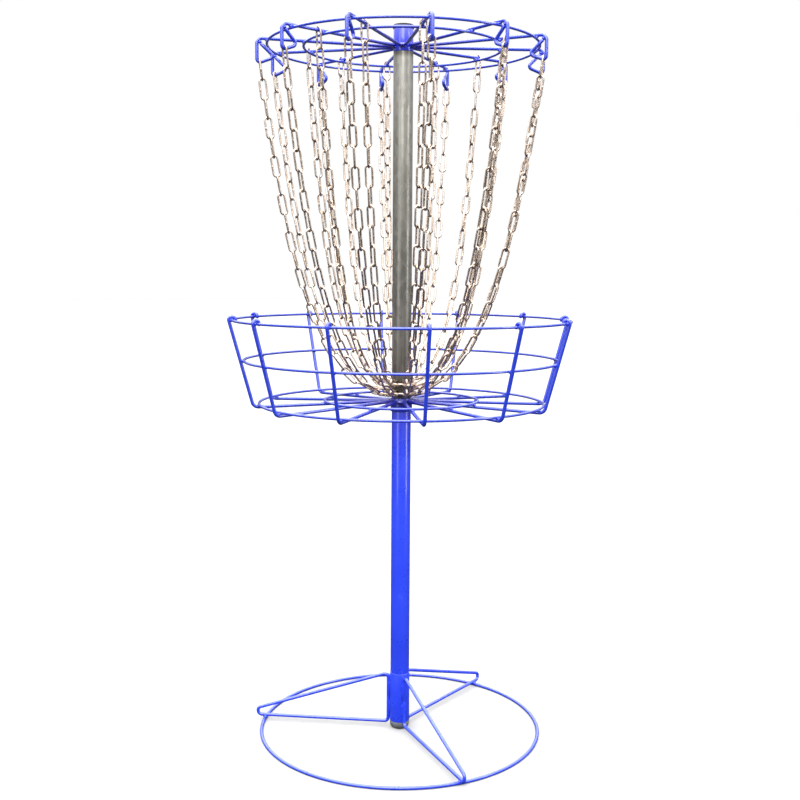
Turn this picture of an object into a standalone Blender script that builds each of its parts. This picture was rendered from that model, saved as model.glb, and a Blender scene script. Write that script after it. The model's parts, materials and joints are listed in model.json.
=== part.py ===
"""Disc golf basket: a welded wire base, a pole in two lengths, a wire basket and a crown of chains.

Metres, +Z up. The origin is on the floor, on the pole's axis. An angle of 0 points along -Y and
angles turn counter-clockwise seen from above, so 90 degrees points along +X. Pieces that are welded
or pushed together in the real object keep a gap of 0.3 mm here.
"""

import math

import bmesh
import bpy
from mathutils import Vector

GAP = 0.0003

# Overall
HEIGHT = 1.320
POLE_DIAMETER = 0.036
TUBE_WALL = 0.0015
JOINER_LENGTH = 0.140
TUBE_SIDES = 24

# Wire stock
HEAVY_WIRE = 0.0064
RING_WIRE = 0.0050
GROUND_WIRE = 0.0060
SPOKES = 12
HAIRPIN_HALF_ANGLE = math.pi / SPOKES
HAIRPIN_START = 0.040
PAIR_ANGLE = 4 * math.pi / SPOKES

# Base
GROUND_RING_RADIUS = 0.266
STRUTS = 3
FIRST_STRUT_ANGLE = math.radians(13.5)
STRUT_OVERHANG = 0.0145
STRUT_TIP_HEIGHT = 0.0135
SLEEVE_DIAMETER = 0.0375
SLEEVE_BOTTOM = 0.0140
SLEEVE_TOP = 0.1100
FOOT_PLUG_FLAT_RADIUS = 0.0125
FOOT_PLUG_TOP = 0.0300

# Basket
FLOOR_RING_RADIUS = 0.143
BOTTOM_RING_RADIUS = 0.265
MIDDLE_RING_RADIUS = 0.2923
RIM_RADIUS = 0.3126
BOTTOM_RING_HEIGHT = 0.6343
MIDDLE_RING_HEIGHT = 0.7141
RIM_HEIGHT = 0.7885
BASKET_HUB_DIAMETER = 0.0405
BASKET_HUB_BOTTOM = 0.6180
RIB_BEND = 0.012
RIB_SLOPE = 0.037  # the ribs rise towards the hub
RIM_HOOK_SWEEP = math.radians(215)
BASKET_TURN = math.radians(-2)

# Chain support
UPPER_POLE_BOTTOM = 0.6430
TOP_HUB_BOTTOM = 1.2722
TOP_RING_HEIGHT = 1.2805  # of the outer one
SPOKE_SLOPE = 0.022  # how steeply a spoke climbs away from the hub
OUTER_RING_RADIUS = 0.2453
INNER_RING_RADIUS = 0.1800
LOOP_OVERHANG = 0.0180
LOOP_HEIGHT = 0.0410
LOOP_LENGTH = 0.0310
LOOP_CLIMB = 0.0115
LOOP_BEND = 0.0055
LOOP_CORNER_CUT = 0.0024  # how far the bend at the loop's foot lies above its corner
LOOP_SHOULDER = 0.0065
CAP_THICKNESS = 0.0032

# Chains
LINK_PITCH = 0.03365
LINKS = 20
TWIST_SHARE = 0.01  # how much of its length a twist takes off a chain
INNER_CHAIN_TWISTS = 1
TIGHT_CHAINS = {"outer": (30, 60, 90, 120), "inner": (60, 120)}  # these hang with one more twist
CHAIN_ROD = 0.006
CHAIN_END_GAP = 0.0075
CHAIN_SEGMENTS = 10
OUTER_CHAIN_INSET = 0.0045
INNER_CHAIN_OFFSET = 0.0090
INNER_CHAINS_ABSENT = (30, 270)
GATHER_RING_RADIUS = 0.0255
LOWER_GATHER_HEIGHT = 0.6525
UPPER_GATHER_HEIGHT = 0.6700

# Worked out from the above
POLE_RADIUS = POLE_DIAMETER / 2
BORE_RADIUS = POLE_RADIUS - TUBE_WALL
JOINER_RADIUS = BORE_RADIUS - GAP
WELD = (HEAVY_WIRE + RING_WIRE) / 2 + GAP
RIB_FLOOR_HEIGHT = BOTTOM_RING_HEIGHT - WELD
SPOKE_HEIGHT = TOP_RING_HEIGHT + WELD  # over the outer ring
LOOP_OUTSIDE = OUTER_RING_RADIUS + LOOP_OVERHANG
STRUT_FLOOR_HEIGHT = GROUND_WIRE + GAP + HEAVY_WIRE / 2
GROUND_RING_HEIGHT = GROUND_WIRE / 2 * math.cos(math.radians(30))  # its six-sided wire lies on a flat


def clear_scene():
    for thing in list(bpy.data.objects):
        bpy.data.objects.remove(thing, do_unlink=True)


def paint(name, colour, roughness, metallic):
    material = bpy.data.materials.new(name)
    material.use_nodes = True
    shader = material.node_tree.nodes["Principled BSDF"]
    shader.inputs["Base Color"].default_value = (*colour, 1.0)
    shader.inputs["Roughness"].default_value = roughness
    shader.inputs["Metallic"].default_value = metallic
    return material


def section(name, height):
    """An empty on the pole's axis that a length of the basket hangs from."""
    empty = bpy.data.objects.new(name, None)
    empty.location = (0, 0, height)
    bpy.context.scene.collection.objects.link(empty)
    return empty


def place(name, data, parent, location=(0, 0, 0), angle=0.0):
    """A node at a world location, turned about Z, as a child of its section's empty."""
    thing = bpy.data.objects.new(name, data)
    thing.parent = parent
    thing.location = Vector(location) - parent.location
    thing.rotation_euler.z = angle
    bpy.context.scene.collection.objects.link(thing)
    return thing


def rounded(points, radius, steps=3):
    """The line through points with each inner corner replaced by an arc of this radius."""
    points = [Vector(p) for p in points]
    line = [points[0]]
    for before, corner, after in zip(points, points[1:], points[2:]):
        back, ahead = (before - corner).normalized(), (after - corner).normalized()
        half = back.angle(ahead) / 2
        centre = corner + (back + ahead).normalized() * radius / math.sin(half)
        start = corner + back * radius / math.tan(half)
        arm = start - centre
        turn = arm.cross(corner - centre)
        turn.normalize()
        side = turn.cross(arm)
        for step in range(steps + 1):
            swept = (math.pi - 2 * half) * step / steps
            line.append(centre + arm * math.cos(swept) + side * math.sin(swept))
    line.append(points[-1])
    return line


def wire(name, points, diameter, material, closed=False):
    """Round wire bent along points, as a curve with six sides."""
    curve = bpy.data.curves.new(name, "CURVE")
    curve.dimensions = "3D"
    curve.bevel_depth = diameter / 2
    curve.bevel_resolution = 1
    curve.use_fill_caps = not closed
    spline = curve.splines.new("POLY")
    spline.points.add(len(points) - 1)
    for target, point in zip(spline.points, points):
        target.co = (*point, 1.0)
    spline.use_cyclic_u = closed
    curve.materials.append(material)
    return curve


def hoop(name, radius, diameter, material, segments=36):
    """A ring of round wire, flat in its own XY plane."""
    turns = [2 * math.pi * i / segments for i in range(segments)]
    points = [(radius * math.sin(a), -radius * math.cos(a), 0) for a in turns]
    return wire(name, points, diameter, material, closed=True)


def turned(name, profile, material, sides=TUBE_SIDES):
    """A closed outline of (radius, height) points turned about Z."""
    mesh = bpy.data.meshes.new(name)
    shape = bmesh.new()
    columns = []
    for radius, height in profile:
        if radius == 0:
            columns.append([shape.verts.new((0, 0, height))] * sides)
            continue
        turns = [2 * math.pi * i / sides for i in range(sides)]
        circle = [(radius * math.sin(a), -radius * math.cos(a), height) for a in turns]
        columns.append([shape.verts.new(point) for point in circle])
    for k, here in enumerate(columns):
        there = columns[(k + 1) % len(columns)]
        for i in range(sides):
            j = (i + 1) % sides
            corners = list(dict.fromkeys((here[i], here[j], there[j], there[i])))
            if len(corners) > 2:
                shape.faces.new(corners)
    bmesh.ops.recalc_face_normals(shape, faces=shape.faces)
    shape.to_mesh(mesh)
    shape.free()
    mesh.shade_smooth()
    mesh.set_sharp_from_angle(angle=math.radians(40))
    mesh.materials.append(material)
    return mesh


def tube(name, outer, inner, bottom, top, material):
    return turned(name, [(outer, bottom), (outer, top), (inner, top), (inner, bottom)], material)


def radial(radius, height, across=0.0):
    """A point at this distance from the pole's axis, at angle 0."""
    return Vector((across, -radius, height))


def hub_corner(hub_radius):
    """How far out a hairpin's inner bends lie, for its short inner run to lie against the hub."""
    return (hub_radius + HEAVY_WIRE / 2 + GAP) / math.cos(HAIRPIN_HALF_ANGLE)


def hairpin(name, hub_radius, leg, material):
    """Two legs of one wire, joined by a short run against the hub. leg lists (radius, height) outwards."""
    start = hub_corner(hub_radius)
    sides = []
    for sign in (-1, 1):
        sine, cosine = math.sin(sign * HAIRPIN_HALF_ANGLE), math.cos(HAIRPIN_HALF_ANGLE)
        sides.append([Vector((r * sine, -r * cosine, z)) for r, z in leg])
    height = leg[0][1]
    corners = [
        Vector((sign * start * math.sin(HAIRPIN_HALF_ANGLE), -start * math.cos(HAIRPIN_HALF_ANGLE), height))
        for sign in (-1, 1)
    ]
    bend = rounded([sides[0][0], *corners, sides[1][0]], HEAVY_WIRE * 0.6, steps=2)
    line = list(reversed(sides[0])) + bend[1:-1] + sides[1]
    return wire(name, line, HEAVY_WIRE, material)


def rib_height(radius):
    return RIB_FLOOR_HEIGHT + RIB_SLOPE * (BOTTOM_RING_RADIUS - radius)


def rib_leg():
    """(radius, height) points of one basket rib: along the floor, up the wall, and over the rim."""
    wall = Vector((RIM_RADIUS - MIDDLE_RING_RADIUS, RIM_HEIGHT - MIDDLE_RING_HEIGHT)).normalized()
    outward = Vector((wall.y, -wall.x))
    rim = Vector((RIM_RADIUS, RIM_HEIGHT))
    shoulder = rim + outward * WELD
    climb = (shoulder.y - RIB_FLOOR_HEIGHT) / wall.y
    corner = shoulder - wall * climb
    floor = [
        (HAIRPIN_START, rib_height(HAIRPIN_START), 0),
        (corner.x, rib_height(corner.x), 0),
        (shoulder.x, shoulder.y, 0),
    ]
    leg = [(p.x, p.y) for p in rounded(floor, RIB_BEND, steps=4)]
    first = math.atan2(outward.y, outward.x)
    steps = 7
    for step in range(1, steps + 1):
        angle = first + RIM_HOOK_SWEEP * step / steps
        leg.append((rim.x + WELD * math.cos(angle), rim.y + WELD * math.sin(angle)))
    return leg


def spoke_height(radius):
    return SPOKE_HEIGHT - SPOKE_SLOPE * (OUTER_RING_RADIUS - radius)


def spoke_leg():
    """(radius, height) points of one spoke: out over both rings, and round the loop that holds a chain."""
    low = SPOKE_HEIGHT - LOOP_HEIGHT - LOOP_CORNER_CUT
    corners = [
        (HAIRPIN_START, spoke_height(HAIRPIN_START), 0),
        (LOOP_OUTSIDE - LOOP_SHOULDER, SPOKE_HEIGHT, 0),
        (LOOP_OUTSIDE, SPOKE_HEIGHT - LOOP_SHOULDER, 0),
        (LOOP_OUTSIDE, low, 0),
        (LOOP_OUTSIDE - LOOP_LENGTH, low + LOOP_CLIMB, 0),
        (LOOP_OUTSIDE - 0.0072, SPOKE_HEIGHT - 0.0092, 0),
    ]
    return [(p.x, p.y) for p in rounded(corners, LOOP_BEND, steps=3)]


def strut_line():
    """One base strut: down the sleeve, out over the ground ring, round the tip and back up to the sleeve."""
    inside = SLEEVE_DIAMETER / 2 + HEAVY_WIRE / 2 + GAP
    tip = GROUND_RING_RADIUS + STRUT_OVERHANG
    shoulder = SLEEVE_TOP - HEAVY_WIRE / 2
    middle = (STRUT_FLOOR_HEIGHT + shoulder) / 2
    corners = [
        radial(inside, middle - GAP),
        radial(inside, STRUT_FLOOR_HEIGHT),
        radial(tip, STRUT_FLOOR_HEIGHT),
        radial(tip, STRUT_FLOOR_HEIGHT + STRUT_TIP_HEIGHT),
        radial(inside, shoulder),
        radial(inside, middle + GAP),
    ]
    return rounded(corners, 0.0072, steps=3)


def catenary(low, high, length):
    """A function from the distance along a chain, hung from low to high, to the (radius, height) there."""
    across, up = high[0] - low[0], high[1] - low[1]
    target = math.sqrt(length**2 - up**2) / across
    least, most = 0.01, 10.0
    for _ in range(60):
        middle = (least + most) / 2
        if math.sinh(middle) / middle < target:
            least = middle
        else:
            most = middle
    sag = across / (2 * least)
    centre = (low[0] + high[0]) / 2 - sag * math.atanh(up / length)
    start = sag * math.sinh((low[0] - centre) / sag)
    base = low[1] - sag * math.cosh((low[0] - centre) / sag)

    def at(distance):
        radius = centre + sag * math.asinh((start + distance) / sag)
        return radius, base + sag * math.cosh((radius - centre) / sag)

    return at


def chain_line(low, high, twists):
    """Points of one strand relative to its upper end, clear of the wires that it hangs between."""
    length = LINKS * LINK_PITCH * (1 - TWIST_SHARE * twists)
    at = catenary(low, high, length)
    reach = length - 2 * CHAIN_END_GAP
    distances = [CHAIN_END_GAP + reach * i / CHAIN_SEGMENTS for i in range(CHAIN_SEGMENTS + 1)]
    return [radial(r - high[0], z - high[1]) for r, z in map(at, distances)]


def build_base(blue, grey):
    base = section("base_section", 0)
    ring = hoop("base_ring", GROUND_RING_RADIUS, GROUND_WIRE, blue, segments=48)
    place("base_ring", ring, base, (0, 0, GROUND_RING_HEIGHT))
    strut = wire("base_strut", strut_line(), HEAVY_WIRE, blue)
    for k in range(STRUTS):
        place(f"base_strut_{k + 1}", strut, base, angle=FIRST_STRUT_ANGLE + 2 * math.pi * k / STRUTS)
    sleeve = tube("base_sleeve", SLEEVE_DIAMETER / 2, BORE_RADIUS, SLEEVE_BOTTOM, SLEEVE_TOP, blue)
    place("base_sleeve", sleeve, base)
    head = SLEEVE_DIAMETER / 2
    profile = [
        (0, 0),
        (FOOT_PLUG_FLAT_RADIUS, 0),
        (head - 0.0022, SLEEVE_BOTTOM * 0.22),
        (head, SLEEVE_BOTTOM * 0.6),
        (head, SLEEVE_BOTTOM - GAP),
        (JOINER_RADIUS, SLEEVE_BOTTOM - GAP),
        (JOINER_RADIUS, FOOT_PLUG_TOP),
        (0, FOOT_PLUG_TOP),
    ]
    place("foot_plug", turned("foot_plug", profile, grey), base)


def build_basket(blue, galvanised):
    lower = section("lower_section", SLEEVE_TOP)
    bottom, top = SLEEVE_TOP + GAP, UPPER_POLE_BOTTOM - GAP
    place("lower_pole", tube("lower_pole", POLE_RADIUS, BORE_RADIUS, bottom, top, blue), lower)
    half = JOINER_LENGTH / 2
    joiner = tube("lower_joiner", JOINER_RADIUS, JOINER_RADIUS - TUBE_WALL, -half, half, galvanised)
    place("lower_joiner", joiner, lower, (0, 0, SLEEVE_TOP))
    hub = BASKET_HUB_DIAMETER / 2
    collar = tube("basket_hub", hub, POLE_RADIUS + GAP, BASKET_HUB_BOTTOM, top, blue)
    place("basket_hub", collar, lower)
    ribs = hairpin("basket_ribs", hub, rib_leg(), blue)
    for k in range(SPOKES // 2):
        turn = BASKET_TURN + PAIR_ANGLE * k - HAIRPIN_HALF_ANGLE
        place(f"basket_rib_pair_{k + 1}", ribs, lower, angle=turn)
    for name, radius, height in (
        ("basket_floor_ring", FLOOR_RING_RADIUS, rib_height(FLOOR_RING_RADIUS) + WELD),
        ("basket_bottom_ring", BOTTOM_RING_RADIUS, BOTTOM_RING_HEIGHT),
        ("basket_middle_ring", MIDDLE_RING_RADIUS, MIDDLE_RING_HEIGHT),
        ("basket_rim_ring", RIM_RADIUS, RIM_HEIGHT),
    ):
        place(name, hoop(name, radius, RING_WIRE, blue), lower, (0, 0, height), BASKET_TURN)


def build_upper_pole(galvanised):
    upper = section("upper_section", UPPER_POLE_BOTTOM)
    pole = tube("upper_pole", POLE_RADIUS, BORE_RADIUS, UPPER_POLE_BOTTOM, TOP_HUB_BOTTOM - GAP, galvanised)
    place("upper_pole", pole, upper)
    half = JOINER_LENGTH / 2
    joiner = tube("upper_joiner", JOINER_RADIUS, JOINER_RADIUS - TUBE_WALL, -half, half, galvanised)
    place("upper_joiner", joiner, upper, (0, 0, UPPER_POLE_BOTTOM))


def build_chain_support(blue, black, zinc, galvanised):
    crown = section("chain_support", TOP_HUB_BOTTOM)
    cap_bottom = HEIGHT - CAP_THICKNESS
    hub = tube("top_hub", POLE_RADIUS, BORE_RADIUS, TOP_HUB_BOTTOM, cap_bottom - GAP, blue)
    place("top_hub", hub, crown)
    below, above = JOINER_LENGTH * 0.6, 0.022
    joiner = tube("top_joiner", JOINER_RADIUS, JOINER_RADIUS - TUBE_WALL, -below, above, galvanised)
    place("top_joiner", joiner, crown, (0, 0, TOP_HUB_BOTTOM))
    profile = [
        (0, HEIGHT),
        (POLE_RADIUS - 0.0020, HEIGHT),
        (POLE_RADIUS + 0.0004, HEIGHT - CAP_THICKNESS * 0.45),
        (POLE_RADIUS + 0.0004, cap_bottom),
        (JOINER_RADIUS, cap_bottom),
        (JOINER_RADIUS, cap_bottom - 0.012),
        (0, cap_bottom - 0.012),
    ]
    place("top_cap", turned("top_cap", profile, black), crown)
    for name, radius in (("top_outer_ring", OUTER_RING_RADIUS), ("top_inner_ring", INNER_RING_RADIUS)):
        place(name, hoop(name, radius, RING_WIRE, blue), crown, (0, 0, spoke_height(radius) - WELD))
    spokes = hairpin("top_spokes", POLE_RADIUS, spoke_leg(), blue)
    for k in range(SPOKES // 2):
        place(f"top_spoke_pair_{k + 1}", spokes, crown, angle=PAIR_ANGLE * k - HAIRPIN_HALF_ANGLE)
    gather = hoop("gather_ring", GATHER_RING_RADIUS, RING_WIRE, zinc, segments=24)
    place("lower_gather_ring", gather, crown, (0, 0, LOWER_GATHER_HEIGHT))
    place("upper_gather_ring", gather, crown, (0, 0, UPPER_GATHER_HEIGHT))
    return crown


def build_chains(crown, zinc):
    outer_top = (LOOP_OUTSIDE - OUTER_CHAIN_INSET, SPOKE_HEIGHT - LOOP_HEIGHT)
    inner_radius = INNER_RING_RADIUS + INNER_CHAIN_OFFSET
    inner_top = (inner_radius, spoke_height(inner_radius))
    for label, gather_height, (radius, height), twists in (
        ("outer", LOWER_GATHER_HEIGHT, outer_top, 0),
        ("inner", UPPER_GATHER_HEIGHT, inner_top, INNER_CHAIN_TWISTS),
    ):
        low, high = (GATHER_RING_RADIUS, gather_height), (radius, height)
        loose, tight = (
            wire(f"{label}_chain", chain_line(low, high, twists + extra), CHAIN_ROD, zinc)
            for extra in (0, 1)
        )
        for degrees in range(0, 360, 360 // SPOKES):
            if label == "inner" and degrees in INNER_CHAINS_ABSENT:
                continue
            rod = tight if degrees in TIGHT_CHAINS[label] else loose
            angle = math.radians(degrees)
            top = (radius * math.sin(angle), -radius * math.cos(angle), height)
            place(f"{label}_chain_{degrees:03d}", rod, crown, top, angle)


def main():
    clear_scene()
    blue = paint("blue_powder_coat", (0.035, 0.075, 0.85), 0.32, 0.0)
    galvanised = paint("galvanised_steel", (0.42, 0.42, 0.40), 0.45, 0.9)
    zinc = paint("zinc_plated_steel", (0.62, 0.58, 0.52), 0.3, 1.0)
    grey = paint("grey_plastic", (0.25, 0.26, 0.27), 0.6, 0.0)
    black = paint("black_plastic", (0.02, 0.02, 0.022), 0.5, 0.0)
    build_base(blue, grey)
    build_basket(blue, galvanised)
    build_upper_pole(galvanised)
    crown = build_chain_support(blue, black, zinc, galvanised)
    build_chains(crown, zinc)


main()
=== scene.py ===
"""Looks for a disc golf basket: coated wire and tube, hung chains, floor, light and camera.

Metres, +Z up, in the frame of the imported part. An angle of 0 points along -Y and angles turn
counter-clockwise seen from above, so 90 degrees points along +X. Each visible piece stands for the
CAD node that it names, and rides on that node's body.
"""

import json
import math
import random

import bpy
from mathutils import Matrix, Vector, noise


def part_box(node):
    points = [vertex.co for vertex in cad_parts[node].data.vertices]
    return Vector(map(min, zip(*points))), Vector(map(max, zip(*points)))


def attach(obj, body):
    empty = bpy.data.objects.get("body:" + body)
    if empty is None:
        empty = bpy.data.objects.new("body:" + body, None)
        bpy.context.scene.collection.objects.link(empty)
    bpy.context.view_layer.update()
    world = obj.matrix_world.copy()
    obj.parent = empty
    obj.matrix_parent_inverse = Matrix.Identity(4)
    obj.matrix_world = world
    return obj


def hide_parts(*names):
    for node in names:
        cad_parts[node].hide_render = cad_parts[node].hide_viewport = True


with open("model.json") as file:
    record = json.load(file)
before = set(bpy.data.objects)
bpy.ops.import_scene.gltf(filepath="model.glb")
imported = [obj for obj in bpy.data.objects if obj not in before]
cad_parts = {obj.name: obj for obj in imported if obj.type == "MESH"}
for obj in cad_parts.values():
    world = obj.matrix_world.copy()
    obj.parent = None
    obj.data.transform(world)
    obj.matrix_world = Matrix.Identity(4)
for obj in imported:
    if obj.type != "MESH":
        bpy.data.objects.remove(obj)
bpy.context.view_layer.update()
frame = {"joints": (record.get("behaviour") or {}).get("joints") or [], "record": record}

NODE_BODY = {node: body for body, nodes in frame["record"]["behaviour"]["bodies"].items() for node in nodes}

# Wire and tube stock
GAP = 0.0003
HEAVY_WIRE = 0.0064
RING_WIRE = 0.0050
GROUND_WIRE = 0.0060
LINK_WIRE = 0.0035
LINK_WIDTH = 0.0150
TUBE_WALL = 0.0015
WELD = (HEAVY_WIRE + RING_WIRE) / 2 + GAP
WIRE_SIDES = 20
LINK_SIDES = 12
RING_STEPS = 240
TURNED_SIDES = 96
EDGE_ROUND = 0.0004

# How the wires are laid out
SPOKES = 12
HAIRPIN_HALF_ANGLE = math.pi / SPOKES
HAIRPIN_START = 0.040
PAIR_ANGLE = 4 * math.pi / SPOKES
BASKET_TURN = math.radians(-2)
STRUTS = 3
FIRST_STRUT_ANGLE = math.radians(13.5)
RIB_BEND = 0.012
RIB_SLOPE = 0.037
RIM_HOOK_SWEEP = math.radians(215)
SPOKE_SLOPE = 0.022
LOOP_OVERHANG = 0.0180
LOOP_HEIGHT = 0.0410
LOOP_LENGTH = 0.0310
LOOP_CLIMB = 0.0115
LOOP_BEND = 0.0055
LOOP_CORNER_CUT = 0.0024
LOOP_SHOULDER = 0.0065
LOOP_END_INSET = 0.0072
LOOP_END_DROP = 0.0092
LOOP_WELD_INSET = 0.0052
LOOP_WELD_DROP = 0.0062
STRUT_OVERHANG = 0.0145
STRUT_TIP_HEIGHT = 0.0135
STRUT_BEND = 0.0072

# Chains
LINKS = 20
STRAND_LENGTH = 0.673
TWIST_SHARE = 0.01
INNER_CHAIN_TWISTS = 1
TIGHT_CHAINS = {"outer": (30, 60, 90, 120), "inner": (60, 120)}  # these hang with one more twist
GATHER_PLAY = 4 * GAP
LINK_LEAN = 16  # degrees that one link may lean against the next
HELD_LINKS = 3  # how many links at each end are kept from leaning freely

# Welds: width, width and thickness of the metal between two crossing wires, and the radii of beads
STRUT_NUGGET = (0.0046, 0.0046, 0.0026)
BASKET_NUGGET = (0.0040, 0.0040, 0.0022)
CROWN_NUGGET = (0.0042, 0.0042, 0.0023)
LOOP_NUGGET = (0.0036, 0.0036, 0.0030)
STRUT_BEAD = 0.0014
STRUT_ROOT = 0.0012
HUB_BEAD = 0.0015

# Colours: the darkest and the lightest of a finish, and for a blue coat the colour of its painted shade by
# the hubs
BLUE = ((0.012, 0.040, 0.68), (0.022, 0.062, 0.82), (0.004, 0.018, 0.56))
# Painted shade: a darker copy of the blue coat, for the basket's and crown's wires and the basket hub
# collar
SHADED_BLUE = ((0.006, 0.026, 0.47), (0.013, 0.046, 0.60), (0.001, 0.007, 0.33))
GREY = ((0.10, 0.108, 0.113), (0.155, 0.163, 0.168))
BLACK = ((0.010, 0.010, 0.012), (0.014, 0.014, 0.017))

# The studio
DOME_LEVELS = (  # (share of the way from straight down to straight up, brightness)
    (0.0, 0.006),
    (0.488, 0.012),
    (0.505, 0.07),
    (0.58, 0.12),
    (0.68, 0.36),
    (0.85, 0.80),
    (1.0, 1.0),
)
DOME_STRENGTH = (2.2, 7.0)
FLOOR_TO_CAMERA = 0.37
FLOOR_TO_LIGHT = 0.025


def ring_size(node, wire):
    """(radius, height) of a CAD ring's centre line."""
    low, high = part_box(node)
    return (high.x - low.x) / 2 - wire / 2, (high.z + low.z) / 2


# Places read from the frame
POLE_RADIUS = (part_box("upper_pole")[1].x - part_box("upper_pole")[0].x) / 2
BORE_RADIUS = POLE_RADIUS - TUBE_WALL
JOINER_RADIUS = BORE_RADIUS - GAP
SLEEVE_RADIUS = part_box("base_sleeve")[1].x
HUB_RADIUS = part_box("basket_hub")[1].x
HUB_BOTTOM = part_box("basket_hub")[0].z
GROUND_RING_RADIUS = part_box("base_ring")[1].x - GROUND_WIRE / 2
FLOOR_RING_RADIUS, FLOOR_RING_HEIGHT = ring_size("basket_floor_ring", RING_WIRE)
BOTTOM_RING_RADIUS, BOTTOM_RING_HEIGHT = ring_size("basket_bottom_ring", RING_WIRE)
MIDDLE_RING_RADIUS, MIDDLE_RING_HEIGHT = ring_size("basket_middle_ring", RING_WIRE)
RIM_RADIUS, RIM_HEIGHT = ring_size("basket_rim_ring", RING_WIRE)
OUTER_RING_RADIUS, TOP_RING_HEIGHT = ring_size("top_outer_ring", RING_WIRE)
INNER_RING_RADIUS = ring_size("top_inner_ring", RING_WIRE)[0]
GATHER_RADIUS, LOWER_GATHER_HEIGHT = ring_size("lower_gather_ring", RING_WIRE)
UPPER_GATHER_HEIGHT = ring_size("upper_gather_ring", RING_WIRE)[1]
RIB_FLOOR_HEIGHT = BOTTOM_RING_HEIGHT - WELD
SPOKE_HEIGHT = TOP_RING_HEIGHT + WELD
LOOP_OUTSIDE = OUTER_RING_RADIUS + LOOP_OVERHANG
SLEEVE_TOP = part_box("base_sleeve")[1].z
STRUT_FLOOR_HEIGHT = GROUND_WIRE + GAP + HEAVY_WIRE / 2


# Camera first, then the floor and the light

def make_camera():
    """Stands 10 degrees to the left of the front, just above the basket's rim, and looks slightly down."""
    distance, height = 2.051, 0.880
    azimuth, pitch, roll = math.radians(-10), math.radians(6.72), math.radians(0.34)
    level = math.cos(pitch)
    forward = Vector((-math.sin(azimuth) * level, math.cos(azimuth) * level, -math.sin(pitch)))
    right = Vector((math.cos(azimuth), math.sin(azimuth), 0))
    up = right.cross(forward)
    across = right * math.cos(roll) + up * math.sin(roll)
    above = up * math.cos(roll) - right * math.sin(roll)
    data = bpy.data.cameras.new("camera")
    data.lens = 49.5
    data.sensor_width = 36
    data.shift_x = -0.0017
    camera = bpy.data.objects.new("camera", data)
    turn = Matrix((across, above, -forward)).transposed().to_4x4()
    place = Matrix.Translation((distance * math.sin(azimuth), -distance * math.cos(azimuth), height))
    camera.matrix_world = place @ turn
    bpy.context.scene.collection.objects.link(camera)
    bpy.context.scene.camera = camera


def make_area_light(name, place, target, size, power, tint=(1, 1, 1)):
    data = bpy.data.lights.new(name, "AREA")
    data.shape = "RECTANGLE"
    data.size, data.size_y = size
    data.energy = power
    data.color = tint
    light = bpy.data.objects.new(name, data)
    light.location = place
    light.rotation_euler = (Vector(target) - Vector(place)).to_track_quat("-Z", "Y").to_euler()
    light.visible_camera = False
    bpy.context.scene.collection.objects.link(light)


def camera_only(tree):
    """1 for what the camera sees directly, 0 for light that reaches it by way of the object."""
    return tree.nodes.new("ShaderNodeLightPath").outputs["Is Camera Ray"]


def map_range(tree, value, numbers):
    """value spread from one range to another. numbers are From Min, From Max, To Min and To Max."""
    node = tree.nodes.new("ShaderNodeMapRange")
    for name, number in zip(("From Min", "From Max", "To Min", "To Max"), numbers):
        node.inputs[name].default_value = number
    tree.links.new(value, node.inputs["Value"])
    return node.outputs["Result"]


def dome_light(tree):
    """The light of a bright dome over a dark ground, in large uneven patches."""
    nodes, links = tree.nodes, tree.links
    dome = nodes.new("ShaderNodeBackground")
    place = nodes.new("ShaderNodeTexCoord")
    axes = nodes.new("ShaderNodeSeparateXYZ")
    levels = nodes.new("ShaderNodeValToRGB")
    ramp = levels.color_ramp.elements
    while len(ramp) < len(DOME_LEVELS):
        ramp.new(0.5)
    for element, (where, level) in zip(ramp, DOME_LEVELS):
        element.position = where
        element.color = (level, level, level, 1)
    patches = nodes.new("ShaderNodeTexNoise")
    patches.inputs["Scale"].default_value = 2.2
    patches.inputs["Detail"].default_value = 1.0
    links.new(place.outputs["Generated"], axes.inputs["Vector"])
    links.new(place.outputs["Generated"], patches.inputs["Vector"])
    height = map_range(tree, axes.outputs["Z"], (-1, 1, 0, 1))
    strength = map_range(tree, patches.outputs["Fac"], (0.35, 0.65, *DOME_STRENGTH))
    links.new(height, levels.inputs["Fac"])
    links.new(levels.outputs["Color"], dome.inputs["Color"])
    links.new(strength, dome.inputs["Strength"])
    return dome.outputs["Background"]


def make_world():
    """A white backdrop for the camera, and the dome for the light that reaches the object."""
    world = bpy.data.worlds.new("studio")
    bpy.context.scene.world = world
    world.use_nodes = True
    tree = world.node_tree
    tree.nodes.clear()
    backdrop = tree.nodes.new("ShaderNodeBackground")
    backdrop.inputs["Color"].default_value = (1, 1, 1, 1)
    mix = tree.nodes.new("ShaderNodeMixShader")
    output = tree.nodes.new("ShaderNodeOutputWorld")
    tree.links.new(camera_only(tree), mix.inputs["Fac"])
    tree.links.new(dome_light(tree), mix.inputs[1])
    tree.links.new(backdrop.outputs["Background"], mix.inputs[2])
    tree.links.new(mix.outputs["Shader"], output.inputs["Surface"])


def make_floor():
    """Paper that the camera sees as white under the dome, and that throws little light back up."""
    reach = 30
    mesh = bpy.data.meshes.new("floor")
    corners = [(-reach, -reach, 0), (reach, -reach, 0), (reach, reach, 0), (-reach, reach, 0)]
    mesh.from_pydata(corners, [], [(0, 1, 2, 3)])
    floor = bpy.data.objects.new("floor", mesh)
    paper = bpy.data.materials.new("floor_paper")
    paper.use_nodes = True
    tree = paper.node_tree
    shader = tree.nodes["Principled BSDF"]
    shader.inputs["Roughness"].default_value = 0.9
    shader.inputs["Specular IOR Level"].default_value = 0.0
    tone = tree.nodes.new("ShaderNodeMix")
    tone.data_type = "RGBA"
    for socket, grey in ((tone.inputs[6], FLOOR_TO_LIGHT), (tone.inputs[7], FLOOR_TO_CAMERA)):
        socket.default_value = (grey, grey, grey, 1)
    tree.links.new(camera_only(tree), tone.inputs[0])
    tree.links.new(tone.outputs[2], shader.inputs["Base Color"])
    mesh.materials.append(paper)
    bpy.context.scene.collection.objects.link(floor)


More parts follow.
